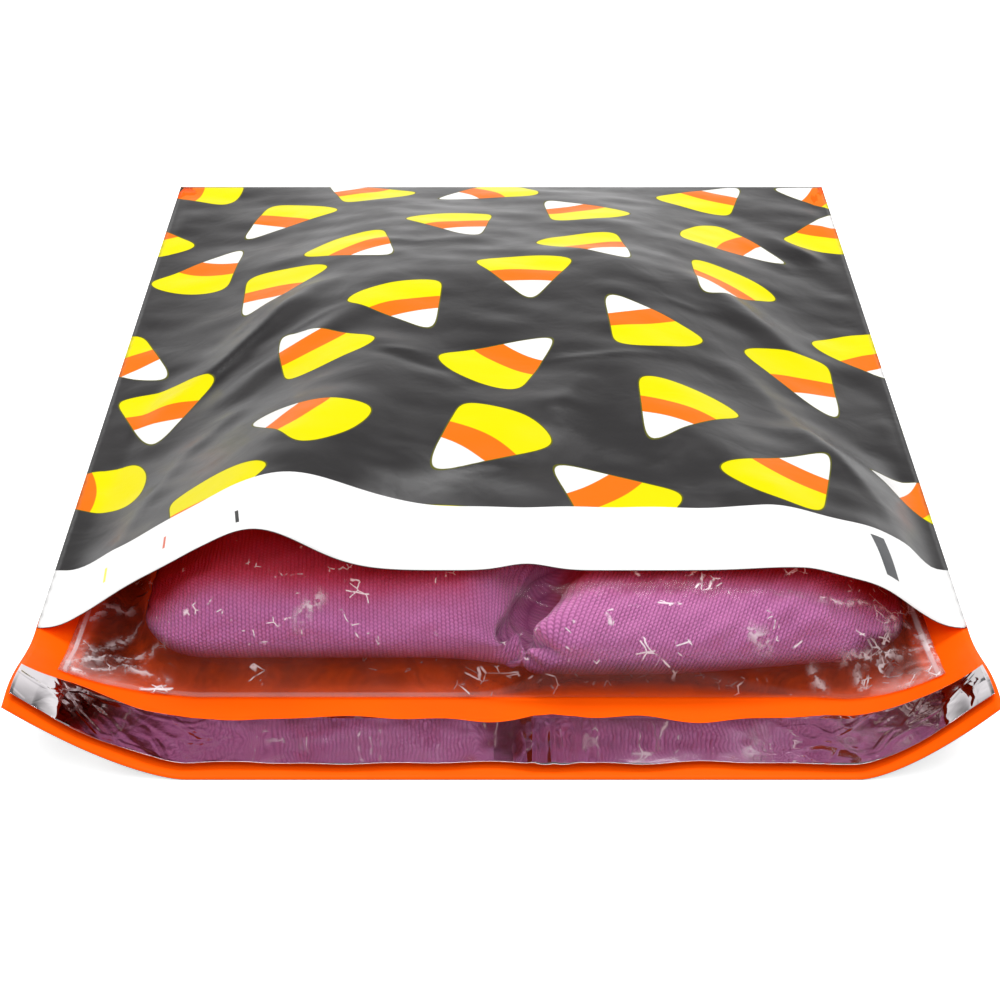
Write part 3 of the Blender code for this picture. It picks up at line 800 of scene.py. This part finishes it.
def sleeve_finish():
    """Clear film: what it mirrors, its milky seams and corners, painted highlights on its crinkles, and
    painted shade over the inside of the mouth.
    """
    material, tree, shader = new_finish("clear_film", (1.0, 1.0, 1.0), 0.10, 1.0)
    fresnel = tree.nodes.new("ShaderNodeFresnel")
    fresnel.inputs["IOR"].default_value = 1.5
    place = object_place(tree)
    side = parts_of(tree, place)[0]
    normal = relief(tree, noise(tree, place, 260.0, 3.0, 0.6, 0.4), 0.0003, 0.4)
    put(tree, shader.inputs["Normal"], normal)
    put(tree, fresnel.inputs["Normal"], normal)
    from_side, from_front = parts_of(tree, uv(tree, "edges"))
    painted_shade_share, painted_glint = parts_of(tree, uv(tree, "marks"))
    open_share = sums(tree, "MULTIPLY_ADD", painted_shade_share, -0.46, 0.52)
    mirrored = sums(tree, "MULTIPLY", fresnel.outputs[0], open_share)
    mirrored = sums(tree, "MULTIPLY", mirrored, level(tree, from_front, 0.003, 0.012, 0.8, 0.22))
    # Milky: the side seams and the outer corners. The thin white lines, on the creases and scattered over
    # the film, are painted highlights
    seam = sums(tree, "ABSOLUTE", sums(tree, "SUBTRACT", from_side, 0.0018))
    seam = level(tree, seam, 0.0008, 0.0003, 0.0, 0.30)
    front = sums(tree, "ABSOLUTE", sums(tree, "SUBTRACT", from_front, 0.0006))
    clearer = level(tree, side, -0.012, 0.008, 0.10, 0.025)
    seam = sums(tree, "MAXIMUM", seam, level(tree, front, 0.0007, 0.0002, 0.0, clearer))
    corner = level(tree, sums(tree, "ADD", from_side, from_front), 0.024, 0.006)
    cloud = level(tree, noise(tree, place, 130.0, 3.0, 0.65, 1.2), 0.35, 0.7, 0.04, 0.22)
    corner = sums(tree, "MULTIPLY", corner, cloud)
    patchy = noise(tree, place, 75.0, 3.0, 0.6, 0.5)
    broken = level(tree, patchy, 0.56, 0.60)
    foot = level(tree, painted_shade_share, 0.35, 0.75)
    foot = sums(tree, "MAXIMUM", foot, level(tree, from_side, 0.019, 0.011))
    often = level(tree, patchy, sums(tree, "MULTIPLY_ADD", foot, -0.09, 0.57), 0.62)
    # Thin white lines that stand in for glints on the film's crinkles: painted highlights
    sharp = cracks(tree, place, 85.0, 0.026)
    sharp = sums(tree, "MAXIMUM", sharp, cracks(tree, place, 190.0, 0.042))
    sharp = sums(tree, "MULTIPLY", sharp, sums(tree, "MAXIMUM", broken, often))
    pieces = level(tree, noise(tree, place, 165.0, 1.0, 0.5), 0.51, 0.56)
    sharp = sums(tree, "MULTIPLY", sharp, pieces)
    streak = level(tree, noise(tree, place, 420.0, 2.0, 0.6), 0.44, 0.60, 0.05, 0.8)
    sharp = sums(tree, "MAXIMUM", sharp, sums(tree, "MULTIPLY", painted_glint, streak))
    haze = level(tree, noise(tree, place, 55.0, 4.0, 0.65), 0.40, 0.75, 0.0, 0.01)
    milk_and_glints = sums(tree, "MULTIPLY_ADD", sharp, 0.68, haze)
    milk_and_glints = sums(tree, "ADD", milk_and_glints, sums(tree, "MAXIMUM", seam, corner))
    # Painted shade: deepest at the foot of the garment
    streaks = level(tree, noise(tree, place, 95.0, 4.0, 0.7, 1.0), 0.3, 0.7, 0.70, 1.0)
    painted_shade = sums(tree, "MULTIPLY", sums(tree, "MULTIPLY", painted_shade_share, 0.92), streaks)
    # Metal for what is mirrored, and a dull colour for what is milky, for the painted highlights and for
    # the painted shade
    body = sums(tree, "ADD", milk_and_glints, painted_shade)
    body = sums(tree, "ADD", body, 0.0001)
    total = sums(tree, "ADD", mirrored, body)
    metal = sums(tree, "DIVIDE", mirrored, total, clamp=True)
    put(tree, shader.inputs["Metallic"], metal)
    milk_and_glint_share = sums(tree, "DIVIDE", milk_and_glints, body, clamp=True)
    # Dark for the painted shade, pinkish white for the milk and the painted highlights
    tint = blend(tree, milk_and_glint_share, (0.070, 0.009, 0.004), (1.0, 0.90, 0.93))
    put(tree, shader.inputs["Base Color"], blend(tree, metal, tint, (1.0, 1.0, 1.0)))
    put(tree, shader.inputs["Specular IOR Level"], 0.0)
    facing = tree.nodes.new("ShaderNodeNewGeometry").outputs["Backfacing"]
    facing = sums(tree, "SUBTRACT", 1.0, facing)
    solid = sums(tree, "MINIMUM", total, 1.0)
    put(tree, shader.inputs["Alpha"], sums(tree, "MULTIPLY", solid, facing))
    return material


def liner_finish():
    """The silvery release liner, a wavy mirror."""
    material, tree, shader = new_finish("silver_liner", (0.66, 0.62, 0.64), 0.09, 1.0)
    place = object_place(tree)
    smear = level(tree, noise(tree, place, 90.0, 3.0, 0.6), 0.3, 0.75, 0.03, 0.10)
    put(tree, shader.inputs["Roughness"], smear)
    ripple = noise(tree, place, 120.0, 2.0, 0.5, 0.8)
    side, depth = parts_of(tree, place)
    out = sums(tree, "ABSOLUTE", side)
    sharp = cracks(tree, place, 85.0, 0.12)
    sharp = sums(tree, "MULTIPLY", sharp, level(tree, out, 0.055, 0.095))
    height = sums(tree, "MULTIPLY_ADD", sharp, 2.0, ripple)
    # A slight curl up towards the near edge, in the normal alone: it steers what the liner mirrors
    near_edge = MIDDLE + LINER_FROM_EDGE - FLAP_REACH
    near = level(tree, depth, near_edge, near_edge + LINER_WIDTH, 1.0, 0.0, smooth=False)
    slope = level(tree, side, -0.004, 0.018, 0.0865, 0.048)
    slope = sums(tree, "ADD", slope, level(tree, out, 0.002, 0.008, 0.050, 0.0))
    slope = sums(tree, "ADD", slope, level(tree, out, 0.070, 0.108, 0.0, 0.085))
    slope = sums(tree, "MULTIPLY_ADD", near, 0.038, slope)
    slope = sums(tree, "MULTIPLY", slope, level(tree, out, 0.1085, 0.1145, 1.0, 0.0))
    curl = sums(tree, "MULTIPLY", sums(tree, "MULTIPLY", slope, near), LINER_WIDTH)
    height = sums(tree, "MULTIPLY_ADD", height, 0.000025, curl)
    put(tree, shader.inputs["Normal"], relief(tree, height, 1.0, 1.0))
    return material


def adhesive_finish():
    material, tree, shader = new_finish("hot_melt", (0.85, 0.83, 0.76), 0.4)
    place = object_place(tree)
    mottle = noise(tree, place, 300.0, 3.0, 0.6)
    put(tree, shader.inputs["Base Color"], blend(tree, mottle, (0.86, 0.84, 0.76), (0.80, 0.77, 0.68)))
    put(tree, shader.inputs["Normal"], relief(tree, mottle, 0.0002, 0.5))
    return material


# Pieces

def lattice_figures():
    """Figures for the lower panel and the flap, on a jittered lattice beyond the bottom fold."""
    rng = np.random.default_rng(5)
    found = []
    for row, v in enumerate(np.arange(0.352, 0.72, 0.041)):
        for u in np.arange(-0.141 + 0.027 * (row % 2), 0.15, 0.054):
            jitter = rng.uniform(-0.004, 0.004, 2)
            found.append((u + jitter[0], v + jitter[1], rng.uniform(-180.0, 180.0)))
    return found


def figure_place(spots, figures):
    """The spots' distances across and up each figure, from its middle."""
    off = spots - figures[..., :2]
    tip = np.radians(figures[..., 2])
    across = off[..., 0] * np.sin(tip) - off[..., 1] * np.cos(tip)
    return across, off[..., 0] * np.cos(tip) + off[..., 1] * np.sin(tip)


def figure_reach(across, up):
    """How far a spot lies outside the figure's triangle."""
    slant = math.radians(FIGURE_SLANT)
    side = np.abs(across) * math.cos(slant) + (up - FIGURE_TIP) * math.sin(slant)
    return np.maximum(side, -FIGURE_BASE - up)


def set_figures(mesh):
    """A UV map in which each face has the coordinates of its nearest figure."""
    corners = np.empty(len(mesh.loops) * 2)
    mesh.uv_layers["film"].uv.foreach_get("vector", corners)
    corners = corners.reshape(-1, 4, 2)
    figures = [(0.001 * u, 0.001 * v, turn) for u, v, turn in FIGURES] + lattice_figures()
    figures = np.array(figures)
    across, up = figure_place(corners.mean(axis=1)[:, None, :], figures[None])
    nearest = figures[figure_reach(across, up).argmin(axis=1)]
    across, up = figure_place(corners, nearest[:, None, :])
    layer = mesh.uv_layers.new(name="figure")
    layer.uv.foreach_set("vector", np.stack([across, up], axis=2).ravel())


def build_film():
    """The printed film: flap, lower panel and upper panel in one web, welded up both sides."""
    flap = np.linspace(-FLAP_REACH, 0.0, FLAP_ROWS + 1)[:-1]
    lower = np.linspace(0.0, BAG_REACH, LOWER_ROWS + 1)
    upper = np.linspace(BAG_REACH, 0.0, UPPER_ROWS + 1)[1:]
    along = np.concatenate([flap, lower, upper])[:, None]
    share = np.linspace(-1.0, 1.0, FILM_COLUMNS + 1)[None, :]
    x = share * half_width(along)
    along = along + np.zeros_like(x)
    under = len(flap) + len(lower)
    points = np.stack([x, along, under_z(x, along)], axis=2)
    smooth = fill_z(x, along) + loose_share(x, along) * loose_z(x, along)
    points[under:, :, 2] = smooth[under:]
    points[under:, :, 1] += lip_draw(x, along)[under:]
    across = run_lengths(points, 1)
    across -= across[:, [FILM_COLUMNS // 2]]
    run = run_lengths(points, 0)
    fold = run[under - 1]
    v = np.where(np.arange(len(run))[:, None] < under, FOLD_AT + fold - run, run[-1] - run)
    points[under:, :, 2] += (slack_share(x, along) * slack_z(x, along))[under:]
    mesh = grid_mesh("film_bag", points, (("film", np.stack([across, v], axis=2)),))
    set_figures(mesh)
    weld(mesh, flip=True)
    film_skin = film_skin_group()
    # The wall's inner face takes the second finish
    finishes = (print_finish(film_skin), orange_finish(film_skin))
    piece = add_piece(mesh, finishes, "mailer_film")
    add_wall(piece, FILM, -1.0, 1)


def garment_grid():
    """Rows of points from the back under the garment, round its nose and back over its top."""
    left, right = garment_sides()
    turn = 0.5 - 0.5 * np.cos(np.linspace(0.0, math.pi, GARMENT_COLUMNS + 1))
    share = mix(np.linspace(0.0, 1.0, GARMENT_COLUMNS + 1), turn, 0.35)[None, :]
    x = mix(left, right, share)
    reach = GARMENT_BACK - GARMENT_LEFT_FRONT
    nose = np.linspace(0.0, 1.0, GARMENT_NOSE_ROWS + 1) ** 2 * (GARMENT_NOSE / reach)
    body = np.linspace(GARMENT_NOSE / reach, 1.0, GARMENT_BODY_ROWS + 1)[1:]
    row = np.concatenate([nose, body])[:, None]
    along = mix(garment_front(x), garment_back(x), row)
    x = x + np.zeros_like(along)
    lower = np.stack([x, along, garment_bottom(x, along)], axis=2)[::-1]
    upper = np.stack([x, along, garment_top(x, along)], axis=2)
    return np.concatenate([lower, upper[1:]]), len(row) - 1


def build_garment():
    points, rim_row = garment_grid()
    run = run_lengths(points, 0)
    over = run - run[rim_row]
    x = points[:, :, 0]
    lean = mix(0.03, -0.36, ease(-0.004, 0.030, x))
    knit = np.stack([x + lean * over, over], axis=2)
    # The crease between the lobes and the tucks beside it are pressed in along the surface's normal
    slope_row = np.gradient(points, axis=0)
    slope_column = np.gradient(points, axis=1)
    normal = np.cross(slope_column, slope_row)
    normal /= np.maximum(np.linalg.norm(normal, axis=2, keepdims=True), 1e-12)
    share = np.clip((points[:, :, 1] - GARMENT_RIGHT_FRONT) / CREASE_REACH, 0.0, 1.0)
    centre = mix(CREASE_FRONT_X, CREASE_BACK_X, share) - 0.0025
    reach = ease(-0.012, -0.002, over) * (1.0 - ease(0.030, 0.050, over))
    inward = np.zeros_like(x)
    for off, depth, width in LOBE_CREASE:
        inward += depth * bump(x - centre - off, width) * reach
    for tuck in TUCKS:
        inward += fold_z(x, over, *tuck)
    soft = 0.0005 * wander(x, over, 0.030, 21) + 0.0002 * wander(x, over, 0.010, 22)
    inward += soft * ease(0.0, 0.006, over) * (1.0 - ease(0.03, 0.05, over))
    points = points - normal * inward[:, :, None]
    mesh = grid_mesh("jersey_garment", points, (("knit", knit),))
    weld(mesh, flip=True)
    add_piece(mesh, (knit_finish(),), "folded_garment")


def smoothed(shape, x, along, spread):
    """The shape's mean over two rings of points round each spot."""
    total = 2.0 * shape(x, along)
    for turn in np.arange(0.0, 2.0 * math.pi, math.pi / 4.0):
        for reach in (0.5 * spread, spread):
            total = total + shape(x + reach * math.cos(turn), along + reach * math.sin(turn))
    return total / 18.0


def sleeve_rim_lift(x, along):
    """How far the sleeve's side edges are drawn up towards the upper panel."""
    left, right = garment_sides()
    room = sleeve_half_width(along) - np.where(x < 0.0, -left, right)
    out = np.clip(-garment_side(x) / room, 0.0, 1.0)
    rise = SLEEVE_RIM_SHARE * ease(0.002, 0.034, along - sleeve_front(x))
    high = fill_z(x, along) - AIR_OVER_SLEEVE
    return out * rise * np.maximum(high - sleeve_floor(x, along), 0.0)


def build_sleeve():
    reach = SLEEVE_BACK - SLEEVE_FRONT
    share = np.linspace(1.0, -1.0, SLEEVE_COLUMNS + 1)[None, :]
    width = MOUTH_HALF_WIDTH - SLEEVE_FRONT_ROOM
    nose = np.linspace(0.0, 1.0, SLEEVE_NOSE_ROWS + 1) ** 1.15 * SLEEVE_NOSE
    body = np.linspace(SLEEVE_NOSE, reach, SLEEVE_BODY_ROWS + 1)[1:]
    step = (np.concatenate([nose, body]) / reach)[:, None]
    along = mix(sleeve_front(share * width), SLEEVE_BACK, step)
    x = share * sleeve_half_width(along)
    ahead = np.minimum(along - sleeve_front(x), sleeve_half_width(along) - np.abs(x))
    cover = np.minimum(garment_side(x), along - garment_front(x))
    loose = ease(0.0, 0.004, ahead)
    bottom = sleeve_floor(x, along) + sleeve_rim_lift(x, along)
    soft = smoothed(sleeve_top, x, along, 0.0055)
    top = mix(sleeve_top(x, along), soft, ease(0.0, 0.006, ahead))
    crinkle = crumple(x, along, 0.021, 31) - 0.25 + 0.5 * wander(x, along, 0.034, 35)
    crinkle += 0.35 * crumple(x, along, 0.009, 37)
    corner = ease(0.070, 0.100, np.abs(x)) * (1.0 - ease(0.0, 0.010, cover))
    size = mix(0.0006 + 0.0012 * corner, 0.0007, ease(-0.004, 0.012, cover))
    size = size + 0.0010 * bump(cover + 0.004, 0.004)
    size = size * (1.0 - 0.8 * ease(0.006, 0.030, along)) * (1.0 - 0.6 * bump(along + 0.001, 0.005))
    top = top + loose * ease(0.001, 0.010, ahead) * size * crinkle
    lines = [fold_z(x, along, points, 1.0, spread) for points, _, spread in CREASES]
    top = top + sum(height * line for line, (_, height, _) in zip(lines, CREASES))
    # Where the creases lie, for painted highlights along them
    painted_glint = np.maximum.reduce(lines)
    top = np.maximum(top, bottom + 0.0003 * loose)
    top = np.where(cover > 0.0, np.maximum(top, garment_top(x, along) + 0.0006), top)
    panel = fill_z(x, along) + loose_share(x, along) * loose_z(x, along)
    panel = panel + slack_share(x, along) * slack_z(x, along)
    top = np.where(along > -0.001, np.minimum(top, panel - 0.0006), top)
    lower = np.stack([x, along, bottom], axis=2)
    upper = np.stack([x, along, top], axis=2)
    points = np.concatenate([lower[::-1], upper[1:]])
    from_edges = np.stack([sleeve_half_width(along) - np.abs(x), along - sleeve_front(x)], axis=2)
    # Painted shade: low down in front of the garment, and in the sleeve's side wings
    low = 1.0 - ease(0.0050, 0.0110, top - sleeve_floor(x, along))
    wing = ease(0.088, 0.100, np.abs(x)) * ease(0.002, 0.007, ahead)
    painted_shade = np.maximum(low * mix(0.35, 1.0, ease(-0.0120, -0.0025, cover)), wing)
    painted_shade = painted_shade * (1.0 - ease(-0.0010, 0.0010, cover))
    # The UV maps: distances from the side and the front, and how much painted shade and painted highlight
    # the film carries
    marks = np.stack([painted_shade, painted_glint], axis=2)
    plain = np.zeros_like(marks)
    edges = np.concatenate([from_edges[::-1], from_edges[1:]])
    marks = np.concatenate([plain[::-1], marks[1:]])
    mesh = grid_mesh("clear_sleeve", points, (("edges", edges), ("marks", marks)))
    weld(mesh, flip=True)
    piece = add_piece(mesh, (sleeve_finish(),), "garment_sleeve")
    add_wall(piece, 0.00005, -1.0)


def build_liner():
    start = LINER_FROM_EDGE - FLAP_REACH
    share = np.linspace(-1.0, 1.0, LINER_COLUMNS + 1)[None, :]
    inner = np.linspace(0.0, 1.0, LINER_ROWS + 1)
    step = np.sort(np.concatenate([inner, [0.006, 0.994]]))[:, None]
    along = start + LINER_WIDTH * step
    x = share * (half_width(along) - LINER_END_ROOM)
    wave = wander(x, 0.0 * x, 0.030, 41, 5)
    along = along + wave * mix(-0.0004, 0.0008, step) + np.zeros_like(x)
    lift = LAYER_GAP + ADHESIVE_THICKNESS + LAYER_GAP
    buckle = 0.00005 * wander(x, along, 0.024, 42) + 0.00001 * wander(x, along, 0.008, 43)
    rumpled = ease(0.055, 0.085, np.abs(x)) * (1.0 - ease(0.108, 0.116, np.abs(x)))
    buckle += 0.00011 * rumpled * (crumple(x, along, 0.014, 45) - 0.3)
    flutter = 0.00008 * wander(x, 0.0 * x, 0.016, 47, 6) * (1.0 - step) ** 4
    pinch = sum(height * bump(x - centre, width) for centre, height, width in LINER_PINCHES)
    tilt = 0.008 * LINER_WIDTH * (1.0 - step)
    z = under_z(x, along) + FILM + lift + 0.0001 + tilt + buckle + flutter
    z = z + pinch * (1.0 - 0.6 * ease(0.55, 1.0, step))
    points = np.stack([x, along, z], axis=2)
    mesh = grid_mesh("liner_strip", points)
    weld(mesh)
    piece = add_piece(mesh, (liner_finish(),), "release_liner")
    add_wall(piece, LINER_THICKNESS, 1.0)


# The stage

def build_stage():
    bm = bmesh.new()
    bmesh.ops.create_grid(bm, x_segments=1, y_segments=1, size=4.0)
    mesh = bpy.data.meshes.new("floor")
    bm.to_mesh(mesh)
    bm.free()
    floor = bpy.data.objects.new("floor", mesh)
    floor.location.z = -0.0002
    bpy.context.scene.collection.objects.link(floor)
    material, tree, shader = new_finish("white_table", (0.90, 0.90, 0.90), 0.9)
    path = tree.nodes.new("ShaderNodeLightPath")
    put(tree, shader.inputs["Emission Color"], (1.0, 1.0, 1.0))
    white = sums(tree, "MULTIPLY", path.outputs["Is Camera Ray"], 0.60)
    put(tree, shader.inputs["Emission Strength"], white)
    mesh.materials.append(material)

    world = bpy.data.worlds.new("studio")
    bpy.context.scene.world = world
    world.use_nodes = True
    sky = world.node_tree
    back = sky.nodes["Background"]
    put(sky, back.inputs["Color"], (1.0, 1.0, 1.0))
    path = sky.nodes.new("ShaderNodeLightPath")
    way = sky.nodes.new("ShaderNodeTexCoord").outputs["Generated"]
    split = sky.nodes.new("ShaderNodeSeparateXYZ")
    put(sky, split.inputs[0], way)
    # What shiny film mirrors is bright low down and dark high up. What lights the bag comes mostly from
    # in front and above.
    mirrored = level(sky, split.outputs[2], 0.10, 0.50, 1.15, 0.18, smooth=False)
    lighting = level(sky, split.outputs[2], 0.10, 1.0, 0.08, 1.0, smooth=False)
    ahead = level(sky, split.outputs[1], 0.10, -0.60, 0.0, 1.15)
    raised = level(sky, split.outputs[2], 0.25, 0.70, 0.0, 1.0)
    lighting = sums(sky, "MULTIPLY_ADD", ahead, raised, lighting)
    strength = mix_value(sky, path.outputs["Is Glossy Ray"], lighting, mirrored)
    strength = mix_value(sky, path.outputs["Is Camera Ray"], strength, 1.0)
    put(sky, back.inputs["Strength"], strength)


def add_light(name, place, target, size, power):
    lamp = bpy.data.lights.new(name, "AREA")
    lamp.shape = "RECTANGLE"
    lamp.size, lamp.size_y = size
    lamp.energy = power
    light = bpy.data.objects.new(name, lamp)
    light.location = place
    aim = np.subtract(target, place)
    across = math.hypot(aim[0], aim[1])
    light.rotation_euler = (math.atan2(across, -aim[2]), 0.0, math.atan2(-aim[0], aim[1]))
    bpy.context.scene.collection.objects.link(light)


def build_camera():
    data = bpy.data.cameras.new("camera")
    data.sensor_width = 36.0
    data.lens = 80.9
    camera = bpy.data.objects.new("camera", data)
    camera.location = (-0.0005, -0.6327, 0.331)
    camera.rotation_euler = (math.radians(60.5), 0.0, 0.0)
    bpy.context.scene.collection.objects.link(camera)
    bpy.context.scene.camera = camera


def main():
    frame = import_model()
    build_camera()
    build_film()
    build_garment()
    build_sleeve()
    build_liner()
    strip = frame["nodes"]["adhesive_strip"]
    strip.data.materials.clear()
    strip.data.materials.append(adhesive_finish())
    build_stage()
    add_light("back_key", (0.05, 0.36, 1.00), (0.0, -0.05, 0.0), (0.90, 0.35), 8.5)
    bpy.context.scene.view_settings.view_transform = "Standard"


main()
